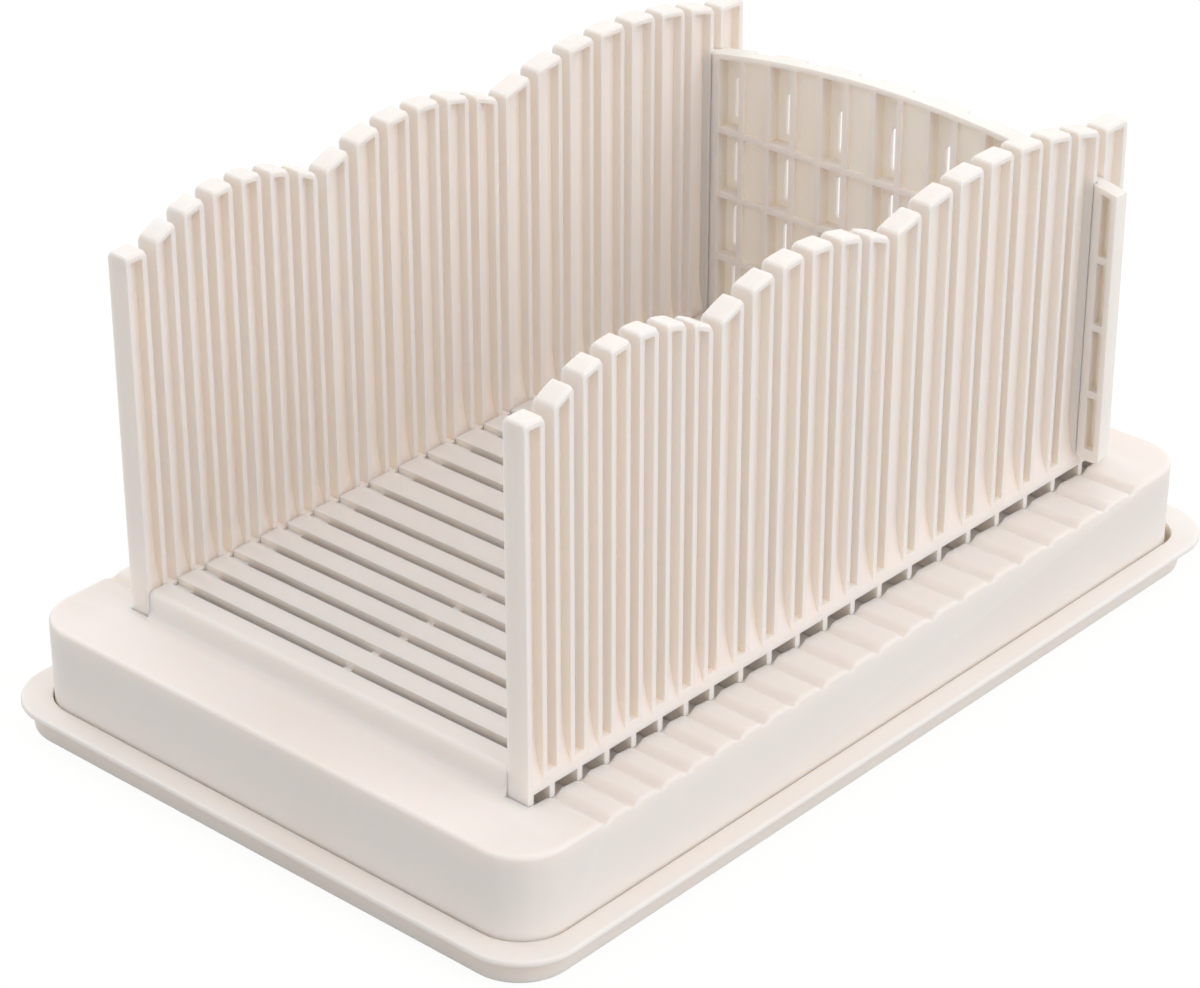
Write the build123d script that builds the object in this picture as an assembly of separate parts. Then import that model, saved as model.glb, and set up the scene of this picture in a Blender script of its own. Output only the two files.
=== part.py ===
from build123d import *
import math
import os

# Slicing guide: a slotted bed between two comb walls whose gaps guide the knife, a ribbed stop
# plate that drops into any pair of knife slots, and a base that stands in a shallow crumb tray.
# Millimetres. +X is the right-hand wall, +Y runs from the thin-slice end to the stop plate,
# +Z is up. The origin is under the middle of the crumb tray, on the surface that it stands on.

# Knife slots: three runs of slices, each with its own thickness
thin_slice = 10.0
thin_count = 6
medium_slice = 11.5
medium_count = 6
thick_slice = 13.1
thick_count = 7
knife_slot = 3.3
front_end_finger = 6.85
back_end_finger = 9.8

# Comb walls
clear_width = 128.6
wall_thickness = 6.9
window_height = 2.4
rail_height = 4.2
finger_height = 97.2
thin_arch_rise = 8.5
medium_arch_rise = 8.0
thick_arch_rise = 7.2
cap_thickness = 2.0
cap_chamfer = 0.7
flange_thickness = 1.5
finger_web = 1.1
scoop_length = 13.6
scoop_foot = 1.7

# Bars and end posts that stand a wall in its channel along the base
bar_width = 1.8
post_length = 1.8
channel_depth = 4.5
channel_floor = 2.0
channel_side = 2.4
channel_clearance = 0.3

# Base housing with its raised bed
front_run = 29.5
back_run = 28.4
side_ledge = 18.0
base_height = 30.5
base_corner = 13.8
base_edge_rounding = 1.3
base_wall = 2.4
base_top_thickness = 4.0
bed_rise = 7.7
bed_clearance = 0.3
bed_skin = 3.0
bed_side_wall = 2.6
bed_edge_rounding = 1.6
bed_foot_fillet = 2.4
bed_groove_relief = 0.8
crumb_slot_margin = 6.0
bed_rib = 2.4
bed_rib_depth = 6.0
side_groove_width = 4.4
side_groove_floor = 0.5
side_groove_depth = 1.9

# Crumb tray
tray_floor = 2.0
tray_height = 8.7
rim_thickness = 1.7
tray_gap = 0.5
front_rim = 7.1
side_rim = 6.8
back_rim = 8.8
front_overhang = 2.6
side_overhang = 3.4
back_overhang = 6.9
rim_corner = 17.3
tray_body_corner = 15.0
tray_pocket_back_corner = 11.0
tray_edge_chamfer = 0.5

# Stop plate
plate_thickness = 5.6
plate_side_clearance = 0.4
plate_crown = 89.0
plate_crown_radius = 350.0
plate_neck = 2.8
neck_floor_clearance = 0.3
end_piece_clearance = 0.5
end_piece_width = 7.4
end_piece_thickness = 4.8
end_piece_offset = 0.9
end_piece_overhang = 0.7
end_piece_inner_rim = 2.4
end_piece_outer_rim = 2.0
end_piece_corner = 1.6
column_pitch = 9.57
column_width = 7.5
column_count = 13
deep_web = 1.3
shallow_front = 1.0
shallow_back = 1.8
plate_rib = 2.0
plate_rib_pitch = 20.5
first_rib_height = 18.9
plate_rim = 1.8
vent_width = 3.5
vent_offset = 0.76
vent_height = 13.2
vent_rise = 2.1

# Derived heights
floor_z = tray_floor
base_top = floor_z + base_height
rail_bottom = base_top + window_height
slot_floor = rail_bottom + rail_height
arch_foot = slot_floor + finger_height
bed_top = base_top + bed_rise
channel_bottom = base_top - channel_depth

# Derived positions in plan
slice_steps = [thin_slice] * thin_count + [medium_slice] * medium_count + [thick_slice] * thick_count
slot_span = sum(slice_steps)
base_length = front_run + slot_span + back_run
base_width = clear_width + 2 * (wall_thickness + side_ledge)
tray_length = base_length + 2 * tray_gap + front_rim + back_rim
tray_width = base_width + 2 * (tray_gap + side_rim)
tray_front = -tray_length / 2
tray_back = tray_length / 2
base_front = tray_front + front_rim + tray_gap
base_back = base_front + base_length
first_slot = base_front + front_run
slot_lines = [first_slot + sum(slice_steps[:index]) for index in range(len(slice_steps) + 1)]
wall_front = first_slot - knife_slot / 2 - front_end_finger
wall_back = slot_lines[-1] + knife_slot / 2 + back_end_finger
wall_inner = clear_width / 2
wall_outer = wall_inner + wall_thickness
bed_half = wall_inner - bed_clearance
channel_outer = wall_outer + channel_clearance
wall_middle = (wall_inner + wall_outer) / 2
group_ends = [slot_lines[0], slot_lines[thin_count], slot_lines[thin_count + medium_count], slot_lines[-1]]


def block(low, high):
    """A box between two opposite corners."""
    size = [far - near for near, far in zip(low, high)]
    middle = [(far + near) / 2 for near, far in zip(low, high)]
    return Pos(*middle) * Box(*size)


def rounded_slab(width, front, back, front_corner, back_corner, bottom, top):
    """A slab centred on X, with its own corner radius at the front and at the back."""
    outline = Pos(0, (front + back) / 2) * Rectangle(width, back - front)
    outline = fillet(outline.vertices().sort_by(Axis.Y)[:2], front_corner)
    outline = fillet(outline.vertices().sort_by(Axis.Y)[-2:], back_corner)
    return Pos(0, 0, bottom) * extrude(outline, amount=top - bottom)


def edges_at_height(solid, height):
    """The edges that lie wholly at one height."""
    return solid.edges().filter_by_position(Axis.Z, height - 0.01, height + 0.01)


def arched_panel(lowered, edge):
    """The wall's full slab above its windows, with the three arches lowered by an amount."""
    crest = arch_foot - lowered
    panel = end_panel(wall_front, group_ends[0], crest, edge)
    panel += end_panel(group_ends[-1], wall_back, crest, edge)
    for start, end, rise in zip(group_ends, group_ends[1:], (thin_arch_rise, medium_arch_rise, thick_arch_rise)):
        left = (0, start, crest)
        right = (0, end, crest)
        outline = [ThreePointArc(left, (0, (start + end) / 2, crest + rise), right)]
        outline += [Line(right, (0, end, rail_bottom)), Line((0, end, rail_bottom), (0, start, rail_bottom))]
        outline += [Line((0, start, rail_bottom), left)]
        segment = Pos(wall_inner, 0, 0) * extrude(make_face(outline), amount=wall_thickness, dir=(1, 0, 0))
        if edge:
            segment = chamfer(segment.edges().filter_by(GeomType.CIRCLE), edge)
        panel += segment
    return panel


def end_panel(start, end, crest, edge):
    """The flat-topped stretch of the wall's slab before the first arch or after the last."""
    segment = block((wall_inner, start, rail_bottom), (wall_outer, end, crest))
    if edge:
        segment = chamfer(edges_at_height(segment, crest).filter_by(Axis.Y), edge)
    return segment


def pocket_prism(face_x, inward):
    """A finger pocket's section, drawn across the wall: a flat web that scoops out to the face."""
    depth = (wall_thickness - finger_web) / 2
    web_x = face_x + inward * depth
    clear_x = face_x - inward
    foot = slot_floor - scoop_foot
    roof = arch_foot + 2 * max(thin_arch_rise, medium_arch_rise, thick_arch_rise)
    bend = (web_x, 0, foot + scoop_length)
    outline = [Line((clear_x, 0, roof), (web_x, 0, roof)), Line((web_x, 0, roof), bend)]
    outline += [TangentArc(bend, (face_x, 0, foot), tangent=(0, 0, -1))]
    outline += [Line((face_x, 0, foot), (clear_x, 0, foot)), Line((clear_x, 0, foot), (clear_x, 0, roof))]
    run = extrude(make_face(outline), amount=wall_back - wall_front, dir=(0, 1, 0))
    return Pos(0, wall_front, 0) * run


def finger_pockets():
    """The pockets on both faces of every finger, closed at the top by the arched cap."""
    starts = [wall_front] + [line + knife_slot / 2 for line in slot_lines]
    ends = [line - knife_slot / 2 for line in slot_lines] + [wall_back]
    sections = [pocket_prism(wall_outer, -1), pocket_prism(wall_inner, 1)]
    panel = arched_panel(cap_thickness, 0)
    pockets = []
    for start, end in zip(starts, ends):
        low = (wall_inner, start + flange_thickness, rail_bottom)
        high = (wall_outer, end - flange_thickness, arch_foot + 2 * thin_arch_rise)
        column = block(low, high) & panel
        pockets += [column & section for section in sections]
    return pockets


def right_wall():
    """One comb wall: arched fingers on a rail, whose bars and end posts stand in the base."""
    wall = arched_panel(0, cap_chamfer)
    roof = arch_foot + 2 * thin_arch_rise
    slots = []
    bars = []
    for line in slot_lines:
        low = (wall_inner - 1, line - knife_slot / 2, slot_floor)
        high = (wall_outer + 1, line + knife_slot / 2, roof)
        slots += [block(low, high)]
        low = (wall_inner, line - bar_width / 2, channel_bottom)
        high = (wall_outer, line + bar_width / 2, rail_bottom)
        bars += [block(low, high)]
    for start in (wall_front, wall_back - post_length):
        bars += [block((wall_inner, start, channel_bottom), (wall_outer, start + post_length, rail_bottom))]
    return wall + bars - slots - finger_pockets()


def side_grooves():
    """The flared grooves that carry each knife line out over the base's sides."""
    length = side_ledge + wall_thickness
    slope = (side_groove_width - side_groove_floor) / (2 * side_groove_depth)
    half_top = side_groove_floor / 2 + slope * (side_groove_depth + 1)
    half_floor = side_groove_floor / 2
    floor = base_top - side_groove_depth
    roof = base_top + 1
    corners = [(0, -half_top, roof), (0, half_top, roof), (0, half_floor, floor), (0, -half_floor, floor)]
    groove = extrude(make_face(Polyline(*corners, close=True)), amount=length, dir=(1, 0, 0))
    right = [Pos(wall_middle, line, 0) * groove for line in slot_lines]
    left = [Pos(-wall_middle - length, line, 0) * groove for line in slot_lines]
    return right + left


def bed_slots():
    """The knife grooves across the bed, and the crumb slots through it on both sides of its rib."""
    groove_floor = slot_floor - bed_groove_relief
    reach = bed_half - crumb_slot_margin
    cuts = []
    for line in slot_lines:
        near = line - knife_slot / 2
        far = line + knife_slot / 2
        cuts += [block((-bed_half - 1, near, groove_floor), (bed_half + 1, far, bed_top + 1))]
        cuts += [block((bed_rib / 2, near, base_top), (reach, far, bed_top))]
        cuts += [block((-reach, near, base_top), (-bed_rib / 2, far, bed_top))]
    return cuts


def base_housing():
    """The open-bottomed base, with the slotted bed that stands above its shoulders."""
    shell = rounded_slab(base_width, base_front, base_back, base_corner, base_corner, floor_z, base_top)
    shell = fillet(edges_at_height(shell, base_top), base_edge_rounding)
    bed = block((-bed_half, wall_front, base_top - 1), (bed_half, wall_back, bed_top))
    bed = fillet(edges_at_height(bed, bed_top).filter_by(Axis.X), bed_edge_rounding)
    shell += bed
    feet = edges_at_height(shell, base_top).filter_by(Axis.X)
    feet = feet.filter_by_position(Axis.Y, wall_front - 0.01, wall_back + 0.01)
    shell = fillet(feet, bed_foot_fillet)
    inner_width = base_width - 2 * base_wall
    inner_front = base_front + base_wall
    inner_back = base_back - base_wall
    inner_corner = base_corner - base_wall
    ceiling = base_top - base_top_thickness
    hollow = rounded_slab(inner_width, inner_front, inner_back, inner_corner, inner_corner, floor_z - 1, ceiling)
    low = (bed_side_wall - bed_half, wall_front + bed_side_wall, ceiling - 1)
    high = (bed_half - bed_side_wall, wall_back - bed_side_wall, bed_top - bed_skin)
    hollow += block(low, high)
    low = (-bed_rib / 2, wall_front, bed_top - bed_skin - bed_rib_depth)
    rib = block(low, (bed_rib / 2, wall_back, bed_top - bed_skin))
    shell = shell - hollow + rib
    channels = []
    under = channel_bottom - channel_floor
    for side in (1, -1):
        near, far = sorted((side * (bed_half - bed_side_wall), side * (channel_outer + channel_side)))
        shell += block((near, base_front + base_wall, under), (far, base_back - base_wall, base_top - 1))
        near, far = sorted((side * bed_half, side * channel_outer))
        start = wall_front - channel_clearance
        end = wall_back + channel_clearance
        channels += [block((near, start, channel_bottom), (far, end, base_top + 1))]
    return shell - side_grooves() - bed_slots() - channels


def crumb_tray():
    """The shallow tray that the base stands in, with a rim that is widest at the back."""
    body_width = tray_width - 2 * side_overhang
    body_front = tray_front + front_overhang
    body_back = tray_back - back_overhang
    under_rim = tray_height - rim_thickness
    corner = tray_body_corner
    body = rounded_slab(body_width, body_front, body_back, corner, corner, 0, tray_height)
    body = chamfer(edges_at_height(body, 0), tray_edge_chamfer)
    rim = rounded_slab(tray_width, tray_front, tray_back, rim_corner, rim_corner, under_rim, tray_height)
    rim = chamfer(edges_at_height(rim, tray_height), tray_edge_chamfer)
    pocket_width = base_width + 2 * tray_gap
    pocket_front = base_front - tray_gap
    pocket_back = base_back + tray_gap
    corner = base_corner + tray_gap
    top = tray_height + 1
    pocket = rounded_slab(pocket_width, pocket_front, pocket_back, corner, tray_pocket_back_corner, floor_z, top)
    return body + rim - pocket


def crown_region(bottom, lowered):
    """The space under the plate's arched top edge, across the whole plate."""
    half = wall_outer + end_piece_clearance + end_piece_width + 1
    crown = bed_top + plate_crown - lowered
    drop = plate_crown_radius - math.sqrt(plate_crown_radius ** 2 - half ** 2)
    left = (-half, 0, crown - drop)
    right = (half, 0, crown - drop)
    outline = [ThreePointArc(left, (0, 0, crown), right), Line(right, (half, 0, bottom))]
    outline += [Line((half, 0, bottom), (-half, 0, bottom)), Line((-half, 0, bottom), left)]
    depth = plate_thickness + end_piece_thickness
    slab = extrude(make_face(outline), amount=depth, dir=(0, 1, 0))
    return Pos(0, slot_lines[-1] - depth / 2, 0) * slab


def bays():
    """The height ranges between the plate's horizontal ribs, from the bottom up."""
    ribs = [bed_top + first_rib_height + index * plate_rib_pitch for index in range(3)]
    floors = [bed_top + plate_rim] + [rib + plate_rib / 2 for rib in ribs]
    roofs = [rib - plate_rib / 2 for rib in ribs] + [bed_top + plate_crown]
    return list(zip(floors, roofs))


def plate_cuts(front, back):
    """Deep pockets with vents, shallow pockets between them, and the recesses behind those."""
    columns = []
    vents = []
    recesses = []
    for index in range(column_count):
        centre = (index - (column_count - 1) / 2) * column_pitch
        deep = index % 2 == 0
        depth = plate_thickness - deep_web if deep else shallow_front
        low_x = centre - column_width / 2
        high_x = centre + column_width / 2
        for floor, roof in bays():
            columns += [block((low_x, front - 1, floor), (high_x, front + depth, roof))]
            if deep:
                vents += [vent(centre + vent_offset, floor + vent_rise, front, back)]
        if not deep:
            low = (low_x, back - shallow_back, bed_top + plate_rim)
            recesses += [block(low, (high_x, back + 1, bed_top + plate_crown + 1))]
    return columns, vents, recesses


def vent(centre, foot, front, back):
    """An upright slot with round ends, through a deep pocket's web."""
    outline = Rot(90, 0, 0) * SlotOverall(vent_height, vent_width, rotation=90)
    hole = extrude(outline, amount=back - front + 2, dir=(0, 1, 0))
    return Pos(centre, front - 1, foot + vent_height / 2) * hole


def stop_plate():
    """The ribbed plate that closes the far end, hung in the last pair of knife slots."""
    line = slot_lines[-1]
    front = line - plate_thickness / 2
    back = line + plate_thickness / 2
    half = wall_inner - plate_side_clearance
    end_inner = wall_outer + end_piece_clearance
    end_outer = end_inner + end_piece_width
    end_front = line - end_piece_offset - end_piece_thickness / 2
    end_back = end_front + end_piece_thickness
    end_bottom = slot_floor - end_piece_overhang
    roof = bed_top + plate_crown
    columns, vents, recesses = plate_cuts(front, back)
    region = crown_region(end_bottom, 0)
    under_rim = crown_region(end_bottom, plate_rim)
    plate = block((-half, front, bed_top), (half, back, roof)) & region
    neck_foot = slot_floor + neck_floor_clearance
    neck_low = (-end_inner, line - plate_neck / 2, neck_foot)
    neck = block(neck_low, (end_inner, line + plate_neck / 2, roof)) & region
    neck -= block((-half, front, neck_foot), (half, back, roof))
    plate += neck
    end = block((end_inner, end_front, end_bottom), (end_outer, end_back, roof))
    end = fillet(edges_at_height(end, end_bottom).filter_by(Axis.Y), end_piece_corner) & region
    end_columns = []
    for floor, bay_roof in bays():
        low = (end_inner + end_piece_inner_rim, end_front - 1, floor)
        high = (end_outer - end_piece_outer_rim, end_back - deep_web, bay_roof)
        end_columns += [block(low, high) & under_rim]
    end -= end_columns
    plate = plate + end + mirror(end, about=Plane.YZ)
    return plate - [column & under_rim for column in columns] - vents - recesses


def build_parts():
    """Every separate piece, by its name."""
    right = right_wall()
    return {
        "crumb_tray": crumb_tray(),
        "base_housing": base_housing(),
        "right_wall": right,
        "left_wall": mirror(right, about=Plane.YZ),
        "stop_plate": stop_plate(),
    }


os.makedirs("parts", exist_ok=True)
for name, shape in build_parts().items():
    export_step(shape, os.path.join("parts", name + ".step"))
    box = shape.bounding_box()
    print(name, len(shape.solids()), round(shape.volume), box.min, box.max)
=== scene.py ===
"""A slicing guide in moulded ivory plastic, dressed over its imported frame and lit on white."""

from __future__ import annotations

import logging
import math
from dataclasses import dataclass
from enum import Enum

import bmesh
import bpy
from mathutils import Matrix, Vector

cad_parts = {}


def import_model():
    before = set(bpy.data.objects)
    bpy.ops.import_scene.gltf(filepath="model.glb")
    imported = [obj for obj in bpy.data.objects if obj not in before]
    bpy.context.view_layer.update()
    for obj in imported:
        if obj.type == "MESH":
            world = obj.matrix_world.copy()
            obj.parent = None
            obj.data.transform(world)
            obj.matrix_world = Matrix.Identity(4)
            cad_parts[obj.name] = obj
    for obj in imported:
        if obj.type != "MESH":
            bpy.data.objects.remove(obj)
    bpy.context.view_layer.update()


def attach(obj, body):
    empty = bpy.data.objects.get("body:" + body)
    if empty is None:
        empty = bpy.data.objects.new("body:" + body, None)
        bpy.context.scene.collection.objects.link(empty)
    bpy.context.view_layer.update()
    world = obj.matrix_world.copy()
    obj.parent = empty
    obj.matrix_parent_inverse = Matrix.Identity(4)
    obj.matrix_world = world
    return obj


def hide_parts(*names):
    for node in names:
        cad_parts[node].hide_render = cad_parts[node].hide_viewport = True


log = logging.getLogger("slicing_guide")

Triple = tuple[float, float, float]
Colour = tuple[float, float, float, float]
Span = tuple[float, float]

EVEN: Triple = (1.0, 1.0, 1.0)


class Part(Enum):
    """The moulded parts of the guide, by the names of their solids."""

    TRAY = "crumb_tray"
    BASE = "base_housing"
    RIGHT_WALL = "right_wall"
    LEFT_WALL = "left_wall"
    PLATE = "stop_plate"


class Direction(Enum):
    """The way that the marks of use run, as how closely they repeat along each axis."""

    ACROSS = (9.0, 420.0, 420.0)
    UPRIGHT = (420.0, 420.0, 9.0)
    ROUND = (160.0, 160.0, 160.0)


def srgb(red: float, green: float, blue: float) -> Colour:
    """A colour written in 0 to 255 display values, as linear values with full alpha.

    Args:
        red: The red value, 0 to 255.
        green: The green value, 0 to 255.
        blue: The blue value, 0 to 255.

    Returns:
        Linear red, green, blue and an alpha of 1.
    """
    straight_end, straight_slope, offset, power = 0.04045, 12.92, 0.055, 2.4
    values = []
    for value in (red, green, blue):
        level = value / 255.0
        curved = ((level + offset) / (1.0 + offset)) ** power
        values.append(level / straight_slope if level <= straight_end else curved)
    return values[0], values[1], values[2], 1.0


IVORY = srgb(243, 235, 231)
IVORY_SHADE = srgb(240, 231, 226)
# Painted light: a lighter, warmer colour painted into the recesses, standing in for light that
# comes through the thin plastic there; scuffs are tinted towards it too.
RECESS_PAINTED_LIGHT = srgb(255, 241, 229)
PALE_EDGE = srgb(245, 239, 235)
# Painted light: the stop plate's colours, painted lighter than the rest, standing in for light that
# comes through the thin plate from behind.
PAINTED_BACKLIT_IVORY = srgb(255, 246, 240)
PAINTED_BACKLIT_SECOND_TONE = srgb(252, 241, 234)
PAINTED_BACKLIT_RECESS_LIGHT = srgb(255, 242, 230)


class Wire:
    """A socket that can be used in arithmetic: each operator adds one Math node."""

    def __init__(self, graph: Graph, socket: bpy.types.NodeSocket) -> None:
        """Keeps the socket and the graph that its nodes are added to."""
        self.graph = graph
        self.socket = socket

    def _math(
        self, operation: str, first: Wire | float, second: Wire | float, clamp: bool = False
    ) -> Wire:
        """Adds a Math node on two values.

        Args:
            operation: The Math node's operation.
            first: Its first value or link.
            second: Its second value or link.
            clamp: Whether the result is kept within 0 and 1.

        Returns:
            The node's result.
        """
        settings = {"operation": operation, "use_clamp": clamp}
        return self.graph.node("ShaderNodeMath", settings, {0: first, 1: second})

    def __add__(self, other: Wire | float) -> Wire:
        """self + other."""
        return self._math("ADD", self, other)

    def __radd__(self, other: float) -> Wire:
        """other + self."""
        return self._math("ADD", other, self)

    def __sub__(self, other: Wire | float) -> Wire:
        """self - other."""
        return self._math("SUBTRACT", self, other)

    def __rsub__(self, other: float) -> Wire:
        """other - self."""
        return self._math("SUBTRACT", other, self)

    def __mul__(self, other: Wire | float) -> Wire:
        """self * other."""
        return self._math("MULTIPLY", self, other)

    def __rmul__(self, other: float) -> Wire:
        """other * self."""
        return self._math("MULTIPLY", other, self)

    def clamped(self) -> Wire:
        """The value, kept within 0 and 1."""
        return self._math("ADD", self, 0.0, clamp=True)


@dataclass(frozen=True)
class Pattern:
    """A noise pattern: how closely it repeats, and how fine and strong its detail is."""

    scale: float
    detail: float = 2.0
    roughness: float = 0.5


class Graph:
    """The node tree of one material."""

    def __init__(self, name: str) -> None:
        """Starts an empty material with that name."""
        self.material = bpy.data.materials.new(name)
        self.material.use_nodes = True
        self.tree = self.material.node_tree
        self.tree.nodes.clear()

    def add(
        self, kind: str, settings: dict[str, object], inputs: dict[int | str, object]
    ) -> bpy.types.Node:
        """Adds a node, sets it up and links it.

        Args:
            kind: The node's type.
            settings: Its settings, by attribute.
            inputs: The values or links of its sockets, by index or name.

        Returns:
            The node.
        """
        made = self.tree.nodes.new(kind)
        for key, value in settings.items():
            setattr(made, key, value)
        for key, value in inputs.items():
            if isinstance(value, Wire):
                self.tree.links.new(value.socket, made.inputs[key])
            else:
                made.inputs[key].default_value = value
        return made

    def node(
        self,
        kind: str,
        settings: dict[str, object],
        inputs: dict[int | str, object],
        output: int | str = 0,
    ) -> Wire:
        """Adds a node as add does, and picks one of its outputs.

        Args:
            kind: The node's type.
            settings: Its settings, by attribute.
            inputs: The values or links of its sockets, by index or name.
            output: The socket that is handed back, by index or name.

        Returns:
            That output, ready for arithmetic.
        """
        return Wire(self, self.add(kind, settings, inputs).outputs[output])

    def noise(self, pattern: Pattern, stretch: Triple = EVEN) -> Wire:
        """A noise pattern's value on the part's own coordinates.

        Args:
            pattern: The pattern.
            stretch: What the coordinates are multiplied by along each axis.

        Returns:
            A value round 0.5, a little more or less from place to place.
        """
        place = self.node("ShaderNodeTexCoord", {}, {}, "Object")
        inputs = {
            "Vector": self.node("ShaderNodeMapping", {}, {"Vector": place, "Scale": stretch}),
            "Scale": pattern.scale,
            "Detail": pattern.detail,
            "Roughness": pattern.roughness,
        }
        return self.node("ShaderNodeTexNoise", {}, inputs, "Fac")

    def ramp(self, value: Wire, span: Span) -> Wire:
        """A value spread out so that the span's first end becomes 0 and its second becomes 1."""
        inputs = {"From Min": span[0], "From Max": span[1], "To Min": 0.0, "To Max": 1.0}
        return self.node("ShaderNodeMapRange", {"clamp": True}, {"Value": value, **inputs})

    def mix(self, amount: Wire | float, first: object, second: object) -> Wire:
        """A blend of two colours."""
        inputs = {0: amount, 6: first, 7: second}
        return self.node("ShaderNodeMix", {"data_type": "RGBA"}, inputs, 2)

    def finish(self, surface: Wire) -> bpy.types.Material:
        """Links the surface to the material's output, and hands the material back."""
        self.add("ShaderNodeOutputMaterial", {}, {"Surface": surface})
        return self.material


@dataclass(frozen=True)
class MouldedPlastic:
    """Satin ivory plastic: fine mould grain, painted light that makes its recesses lighter and
    warmer, paler edges and marks of use.
    """

    name: str
    marks: Direction
    mark_strength: float

    body: Colour = IVORY
    shade: Colour = IVORY_SHADE
    # Painted recess light, which is also the colour that the scuffs are tinted towards.
    scuff_and_painted_recess_light: Colour = RECESS_PAINTED_LIGHT
    edge: Colour = PALE_EDGE

    cloud: Pattern = Pattern(13.0, detail=3.0)
    cloud_span: Span = (0.35, 0.68)
    cloud_share: float = 0.55
    flow: Pattern = Pattern(1.0)
    flow_stretch: Triple = (26.0, 26.0, 5.0)
    flow_span: Span = (0.35, 0.7)
    flow_share: float = 0.45
    recess_reach: float = 0.012
    recess_samples: int = 8
    recess_span: Span = (0.8, 0.15)
    recess_light_share: float = 0.85
    edge_span: Span = (0.52, 0.6)
    edge_tint: float = 0.55
    mark_tint: float = 0.22

    roughness: float = 0.42
    speckle: Pattern = Pattern(620.0, roughness=0.6)
    speckle_dulling: float = 0.09
    cloud_dulling: float = 0.05
    mark_dulling: float = 0.5
    edge_polish: float = 0.08

    hairlines: Pattern = Pattern(2.2, detail=4.0, roughness=0.62)
    hairline_span: Span = (0.6, 0.72)
    rubbed: Pattern = Pattern(1.0)
    rubbed_stretch: Triple = (24.0, 24.0, 24.0)
    rubbed_span: Span = (0.42, 0.66)

    grain: Pattern = Pattern(2100.0, detail=3.0, roughness=0.55)
    grain_height: float = 0.055
    sink: Pattern = Pattern(46.0)
    sink_height: float = 0.35
    mark_depth: float = 0.09
    relief_strength: float = 0.32
    relief_distance: float = 0.00035

    refraction: float = 1.49
    specular: float = 0.42
    depth_weight: float = 0.7
    depth_colours: Triple = (1.0, 0.8, 0.62)
    depth: float = 0.0038

    def build(self) -> bpy.types.Material:
        """Builds the node tree.

        Returns:
            The finished material.
        """
        graph = Graph(self.name)
        cloud = graph.ramp(graph.noise(self.cloud), self.cloud_span)
        worn = self._worn(graph)
        marks = self._marks(graph)
        shader = {
            "Base Color": self._tone(graph, cloud, worn, marks),
            "Roughness": self._dullness(graph, cloud, worn, marks),
            "Normal": self._relief(graph, marks),
            "IOR": self.refraction,
            "Specular IOR Level": self.specular,
            "Subsurface Weight": self.depth_weight,
            "Subsurface Radius": self.depth_colours,
            "Subsurface Scale": self.depth,
        }
        return graph.finish(graph.node("ShaderNodeBsdfPrincipled", {}, shader, "BSDF"))

    def _worn(self, graph: Graph) -> Wire:
        """Where the surface turns sharply outwards, as on rubbed arrises."""
        return graph.ramp(graph.node("ShaderNodeNewGeometry", {}, {}, "Pointiness"), self.edge_span)

    def _marks(self, graph: Graph) -> Wire:
        """Hairline scuffs in patches, stretched the way that the part is rubbed."""
        lines = graph.ramp(graph.noise(self.hairlines, self.marks.value), self.hairline_span)
        return lines * graph.ramp(graph.noise(self.rubbed, self.rubbed_stretch), self.rubbed_span)

    def _tone(self, graph: Graph, cloud: Wire, worn: Wire, marks: Wire) -> Wire:
        """The colour: faintly clouded, warmer in the marks, paler on arrises, and painted lighter
        and warmer in the recesses as painted light.

        Args:
            graph: The material's graph.
            cloud: How clouded each place is.
            worn: Where the arrises are.
            marks: Where the scuffs are.

        Returns:
            The base colour.
        """
        flow = graph.ramp(graph.noise(self.flow, self.flow_stretch), self.flow_span)
        settings, reach = {"samples": self.recess_samples}, {"Distance": self.recess_reach}
        openness = graph.node("ShaderNodeAmbientOcclusion", settings, reach, "AO")
        recess_light_mask = graph.ramp(openness, self.recess_span)
        mottle = (cloud * self.cloud_share + flow * self.flow_share).clamped()
        tone = graph.mix(mottle, self.body, self.shade)
        # Painted light: recesses found by ambient occlusion are painted lighter and warmer,
        # standing in for light through the thin webs.
        tone = graph.mix(recess_light_mask * self.recess_light_share, tone, self.scuff_and_painted_recess_light)
        tone = graph.mix(worn * self.edge_tint, tone, self.edge)
        # The scuffs are tinted towards the same colour as the painted recess light.
        return graph.mix(marks * (self.mark_tint * self.mark_strength), tone, self.scuff_and_painted_recess_light)

    def _dullness(self, graph: Graph, cloud: Wire, worn: Wire, marks: Wire) -> Wire:
        """The roughness: speckled, duller in the marks and polished on the arrises.

        Args:
            graph: The material's graph.
            cloud: How clouded each place is.
            worn: Where the arrises are.
            marks: Where the scuffs are.

        Returns:
            The roughness.
        """
        clean = self.roughness + graph.noise(self.speckle) * self.speckle_dulling
        used = clean + cloud * self.cloud_dulling + marks * (self.mark_dulling * self.mark_strength)
        return (used - worn * self.edge_polish).clamped()

    def _relief(self, graph: Graph, marks: Wire) -> Wire:
        """The mould grain, the slow sink of the surface and the scuffs as one bump.

        Args:
            graph: The material's graph.
            marks: Where the scuffs are.

        Returns:
            The bumped normal.
        """
        grain = graph.noise(self.grain) * self.grain_height
        height = grain + graph.noise(self.sink) * self.sink_height - marks * self.mark_depth
        depth = {"Strength": self.relief_strength, "Distance": self.relief_distance}
        return graph.node("ShaderNodeBump", {}, {**depth, "Height": height}, "Normal")


@dataclass(frozen=True)
class BacklitPaintedPlastic(MouldedPlastic):
    """The same plastic painted lighter: painted light that stands in for the light coming through
    it where it is thin.
    """

    body: Colour = PAINTED_BACKLIT_IVORY
    shade: Colour = PAINTED_BACKLIT_SECOND_TONE
    scuff_and_painted_recess_light: Colour = PAINTED_BACKLIT_RECESS_LIGHT


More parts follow.
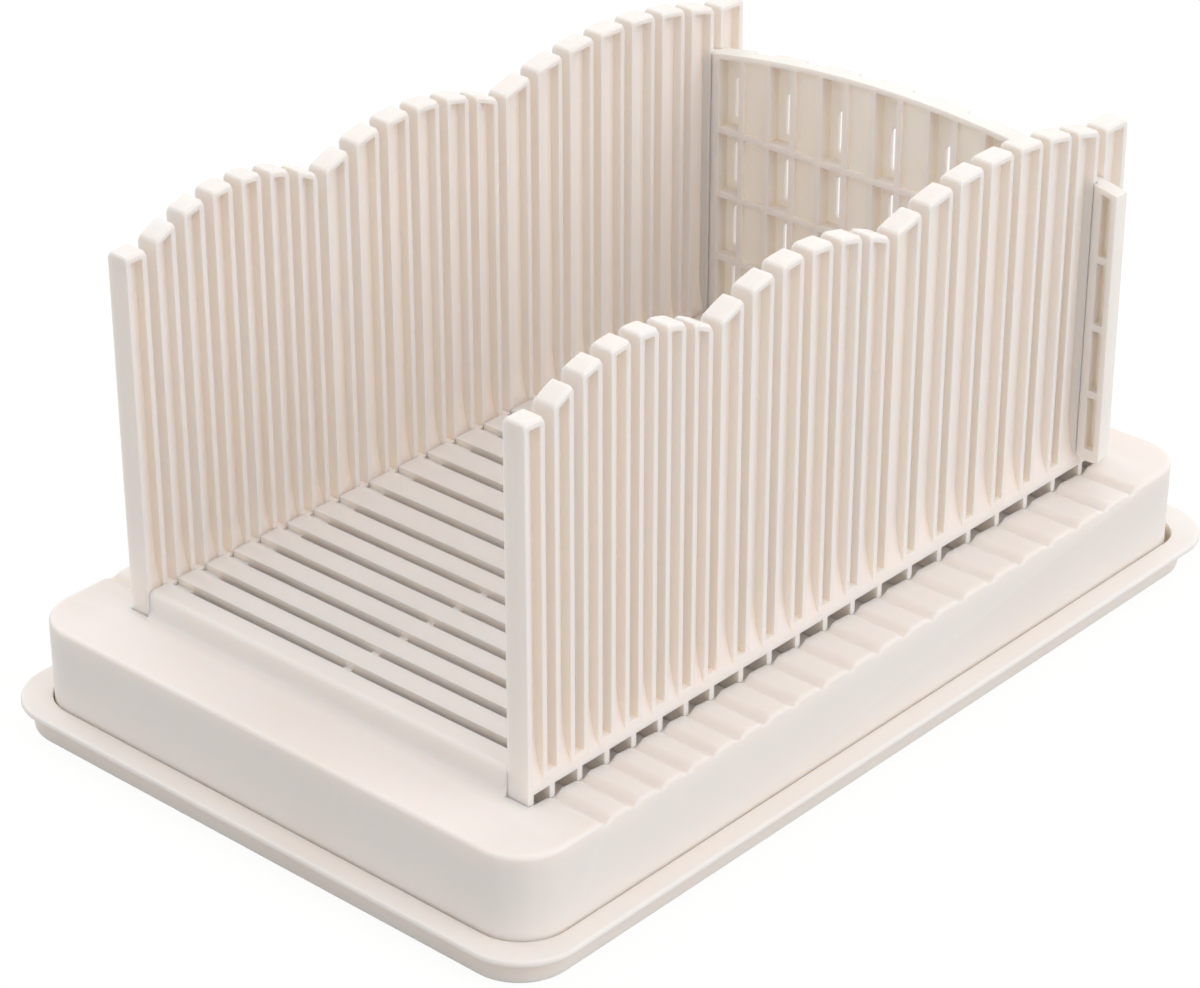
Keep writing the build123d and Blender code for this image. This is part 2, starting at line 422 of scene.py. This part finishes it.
@dataclass
class MouldedPart:
    """One moulded part: its solid's mesh, cleaned, its arrises rounded as a mould leaves them."""

    part: Part
    body: str
    slot: str
    finish: MouldedPlastic
    arris: float = 0.0003
    arris_segments: int = 2
    arris_angle: float = 38.0
    rounding_segments: int = 3
    weld: float = 2e-6
    flat_angle: float = 0.6

    def build(self) -> bpy.types.Object:
        """Makes the dressed piece, and puts it in its solid's place.

        Returns:
            The finished piece.
        """
        source = bpy.data.objects[self.part.value]
        mesh = bpy.data.meshes.new(self.part.value + "_moulded")
        piece = bpy.data.objects.new(self.part.value + "_moulded", mesh)
        bpy.context.scene.collection.objects.link(piece)
        shape = bmesh.new()
        shape.from_mesh(source.data)
        bmesh.ops.remove_doubles(shape, verts=shape.verts[:], dist=self.weld)
        flat = math.radians(self.flat_angle)
        verts, edges = shape.verts[:], shape.edges[:]
        bmesh.ops.dissolve_limit(shape, angle_limit=flat, verts=verts, edges=edges)
        self._detail(shape)
        for face in shape.faces:
            face.smooth = True
        shape.to_mesh(mesh)
        shape.free()
        self._soften(piece)
        piece.data.materials.append(self.finish.build())
        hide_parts(self.part.value)
        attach(piece, self.body)
        log.info("%s: %d faces", piece.name, len(mesh.polygons))
        return piece

    def _detail(self, shape: bmesh.types.BMesh) -> None:
        """Reworks the mesh where this part needs more than its arrises rounded."""

    def _round(
        self,
        shape: bmesh.types.BMesh,
        edges: list[bmesh.types.BMEdge],
        radius: float,
        clamp: bool = True,
    ) -> None:
        """Rounds some of the part's edges more than the rest.

        Args:
            shape: The part's mesh.
            edges: The edges to round.
            radius: The width of the rounding, in metres.
            clamp: Whether the shortest of the edges limits it.
        """
        bmesh.ops.bevel(
            shape,
            geom=edges,
            affect="EDGES",
            offset=radius,
            offset_type="OFFSET",
            segments=self.rounding_segments,
            profile=0.5,
            clamp_overlap=clamp,
            material=-1,
        )

    def _soften(self, piece: bpy.types.Object) -> None:
        """Rounds every arris and keeps the flats flat.

        Args:
            piece: The piece that gets the modifiers.
        """
        bevel = piece.modifiers.new("arris", "BEVEL")
        bevel.width = self.arris
        bevel.segments = self.arris_segments
        bevel.limit_method = "ANGLE"
        bevel.angle_limit = math.radians(self.arris_angle)
        bevel.use_clamp_overlap = True
        bevel.harden_normals = False
        normals = piece.modifiers.new("flats", "WEIGHTED_NORMAL")
        normals.keep_sharp = False


@dataclass
class CrumbTray(MouldedPart):
    """The shallow tray that the base stands in."""

    part: Part = Part.TRAY
    body: str = "tray"
    slot: str = "tray_plastic"
    finish: MouldedPlastic = MouldedPlastic("tray_ivory", Direction.ROUND, 0.22)
    arris: float = 0.00035


@dataclass
class BaseHousing(MouldedPart):
    """The base with its raised, slotted bed."""

    part: Part = Part.BASE
    body: str = "base"
    slot: str = "base_plastic"
    finish: MouldedPlastic = MouldedPlastic("base_ivory", Direction.ACROSS, 0.4)
    arris: float = 0.00035
    groove_rounding: float = 0.0011
    groove_share: float = 0.72
    shoulder_start: float = 0.068
    groove_run: float = 0.008
    groove_skew: float = 0.06
    groove_rise: float = 0.6
    lip_angle: float = 20.0

    def _detail(self, shape: bmesh.types.BMesh) -> None:
        """Settles the flared side grooves softly into the shoulders that they cross.

        Args:
            shape: The part's mesh.
        """
        shape.normal_update()
        slopes = [face for face in shape.faces if self._is_groove_side(face)]
        lips = {edge for face in slopes for edge in face.edges if self._is_groove_lip(edge)}
        ledge = max(vert.co.z for face in slopes for vert in face.verts)
        for vert in {vert for face in slopes for vert in face.verts}:
            vert.co.z = ledge - (ledge - vert.co.z) * self.groove_share
        ordered = [edge for edge in shape.edges if edge in lips]
        self._round(shape, ordered, self.groove_rounding, clamp=False)

    def _is_groove_side(self, face: bmesh.types.BMFace) -> bool:
        """Whether a face is one of a groove's two sloping sides.

        Args:
            face: The face, with its normal up to date.

        Returns:
            True for a face out on a shoulder that leans as a groove's side does.
        """
        reach = [abs(vert.co.x) for vert in face.verts]
        if min(reach) < self.shoulder_start or max(reach) - min(reach) < self.groove_run:
            return False
        skew = abs(abs(face.normal.y) - face.normal.z)
        return skew < self.groove_skew and face.normal.z > self.groove_rise

    def _is_groove_lip(self, edge: bmesh.types.BMEdge) -> bool:
        """Whether an edge is where a groove's sloping side leaves the surface round it.

        Args:
            edge: The edge.

        Returns:
            True for an outward bend with a groove's side on one side of it only.
        """
        if len(edge.link_faces) != 2 or not edge.is_convex:
            return False
        if edge.calc_face_angle(0.0) < math.radians(self.lip_angle):
            return False
        return [self._is_groove_side(face) for face in edge.link_faces].count(True) == 1


@dataclass
class CombWall(MouldedPart):
    """A comb wall of arched fingers."""

    part: Part = Part.RIGHT_WALL
    body: str = "base"
    slot: str = "wall_plastic"
    finish: MouldedPlastic = MouldedPlastic("wall_ivory", Direction.UPRIGHT, 0.25)
    arris: float = 0.00025
    cap_rounding: float = 0.0009
    cap_height: float = 0.1
    cap_end_facing: float = 0.9
    cap_top_facing: float = 0.5
    finger_rounding: float = 0.00042
    finger_length: float = 0.05
    finger_angle: float = 60.0
    finger_upright: float = 0.99

    def _detail(self, shape: bmesh.types.BMesh) -> None:
        """Rounds the fingers' caps and their long upright arrises.

        Args:
            shape: The part's mesh.
        """
        ends = [edge for edge in shape.edges if self._is_cap_end(edge)]
        self._round(shape, ends, self.cap_rounding)
        arrises = [edge for edge in shape.edges if self._is_finger_arris(edge)]
        self._round(shape, arrises, self.finger_rounding)

    def _is_cap_end(self, edge: bmesh.types.BMEdge) -> bool:
        """Whether an edge is where a cap's top meets the end of its finger.

        Args:
            edge: The edge.

        Returns:
            True for a high outward bend between a rising face and an end face.
        """
        if len(edge.link_faces) != 2 or not edge.is_convex:
            return False
        if min(vert.co.z for vert in edge.verts) < self.cap_height:
            return False
        end = any(abs(face.normal.y) > self.cap_end_facing for face in edge.link_faces)
        return end and any(face.normal.z > self.cap_top_facing for face in edge.link_faces)

    def _is_finger_arris(self, edge: bmesh.types.BMEdge) -> bool:
        """Whether an edge runs up a finger's flange.

        Args:
            edge: The edge.

        Returns:
            True for a long, upright and sharp outward bend.
        """
        if len(edge.link_faces) != 2 or not edge.is_convex:
            return False
        if edge.calc_face_angle(0.0) < math.radians(self.finger_angle):
            return False
        run = edge.verts[1].co - edge.verts[0].co
        return run.length > self.finger_length and abs(run.z) > self.finger_upright * run.length


@dataclass
class StopPlate(MouldedPart):
    """The ribbed plate in the last pair of knife slots."""

    part: Part = Part.PLATE
    body: str = "plate"
    slot: str = "plate_plastic"
    # Painted light: the plate gets the lighter colours that stand in for light through its thin
    # webs.
    finish: MouldedPlastic = BacklitPaintedPlastic("plate_ivory_painted_backlight", Direction.UPRIGHT, 0.2)
    arris: float = 0.00028


@dataclass(frozen=True)
class Lamp:
    """One square soft lamp: its place, the length of its side in metres, its power in watts."""

    name: str
    place: Triple
    size: float
    power: float

    def hang(self, aim: Triple) -> None:
        """Hangs the lamp so that it faces a point.

        Args:
            aim: The point.
        """
        data = bpy.data.lights.new(self.name, "AREA")
        data.shape = "SQUARE"
        data.size = self.size
        data.energy = self.power
        lamp = bpy.data.objects.new(self.name, data)
        bpy.context.scene.collection.objects.link(lamp)
        lamp.location = self.place
        lamp.rotation_mode = "QUATERNION"
        lamp.rotation_quaternion = (Vector(aim) - Vector(self.place)).to_track_quat("-Z", "Y")


@dataclass
class Studio:
    """A white floor, soft lamps and the camera."""

    camera_place: Triple = (0.58511, -0.66909, 0.53024)
    azimuth: float = 41.747
    elevation: float = 28.679
    roll: float = -0.0243
    lens: float = 111.57
    sensor_width: float = 36.0
    clip: Span = (0.01, 50.0)

    floor_size: float = 6.0
    floor_drop: float = 0.0002
    floor_matte: Colour = (0.54, 0.53, 0.52, 1.0)
    floor_white: Colour = (1.0, 1.0, 1.0, 1.0)
    floor_glow: float = 1.1
    floor_share: float = 0.84

    world_tint: Colour = (1.0, 0.988, 0.975, 1.0)
    world_strength: float = 0.75

    aim: Triple = (0.0, 0.0, 0.05)
    lamps: tuple[Lamp, ...] = (
        Lamp("key", (2.2, 0.3, 1.5), 2.0, 23.0),
        Lamp("back", (-0.35, 1.4, 0.95), 1.3, 2.8),
        Lamp("left", (-1.3, 0.0, 1.0), 1.2, 6.5),
        Lamp("top", (0.1, 0.3, 1.5), 1.0, 1.2),
    )

    def build(self) -> None:
        """Sets up the whole studio."""
        self._camera()
        self._floor()
        self._world()
        for lamp in self.lamps:
            lamp.hang(self.aim)
        bpy.context.scene.view_settings.view_transform = "Standard"

    def _camera(self) -> None:
        """Places the camera where the photograph was taken from."""
        data = bpy.data.cameras.new("camera")
        data.lens = self.lens
        data.sensor_width = self.sensor_width
        data.clip_start, data.clip_end = self.clip
        camera = bpy.data.objects.new("camera", data)
        bpy.context.scene.collection.objects.link(camera)
        turn, rise = math.radians(self.azimuth), math.radians(self.elevation)
        out = math.cos(rise)
        back = Vector((math.sin(turn) * out, -math.cos(turn) * out, math.sin(rise)))
        aim = (-back).to_track_quat("-Z", "Y").to_matrix().to_4x4()
        roll = Matrix.Rotation(math.radians(self.roll), 4, "Z")
        camera.matrix_world = Matrix.Translation(self.camera_place) @ aim @ roll
        bpy.context.scene.camera = camera

    def _floor(self) -> None:
        """Lays the floor, just under the tray."""
        mesh = bpy.data.meshes.new("floor")
        floor = bpy.data.objects.new("floor", mesh)
        bpy.context.scene.collection.objects.link(floor)
        shape = bmesh.new()
        bmesh.ops.create_grid(shape, x_segments=1, y_segments=1, size=self.floor_size)
        bmesh.ops.translate(shape, verts=shape.verts[:], vec=(0.0, 0.0, -self.floor_drop))
        shape.to_mesh(mesh)
        shape.free()
        mesh.materials.append(self._floor_finish())

    def _floor_finish(self) -> bpy.types.Material:
        """A floor that glows white where it is seen, and is a matte grey to all other light.

        Returns:
            The finished material.
        """
        graph = Graph("white_floor")
        matte = graph.node("ShaderNodeBsdfDiffuse", {}, {"Color": self.floor_matte}, "BSDF")
        glow = {"Color": self.floor_white, "Strength": self.floor_glow}
        white = graph.node("ShaderNodeEmission", {}, glow, "Emission")
        rays = graph.add("ShaderNodeLightPath", {}, {}).outputs
        straight = Wire(graph, rays["Is Camera Ray"]) + Wire(graph, rays["Is Glossy Ray"])
        through = Wire(graph, rays["Is Transmission Ray"])
        seen = (straight + through).clamped() * self.floor_share
        return graph.finish(graph.node("ShaderNodeMixShader", {}, {0: seen, 1: matte, 2: white}))

    def _world(self) -> None:
        """Sets the even light that comes from all round."""
        world = bpy.data.worlds.new("studio")
        world.use_nodes = True
        background = world.node_tree.nodes["Background"]
        background.inputs["Color"].default_value = self.world_tint
        background.inputs["Strength"].default_value = self.world_strength
        bpy.context.scene.world = world


def main() -> None:
    """Loads the frame, builds every part in order and lights it."""
    logging.basicConfig(level=logging.INFO, format="%(message)s")
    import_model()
    parts = [CrumbTray(), BaseHousing(), CombWall(), CombWall(part=Part.LEFT_WALL), StopPlate()]
    for part in parts:
        part.build()
    Studio().build()


if __name__ == "__main__":
    main()
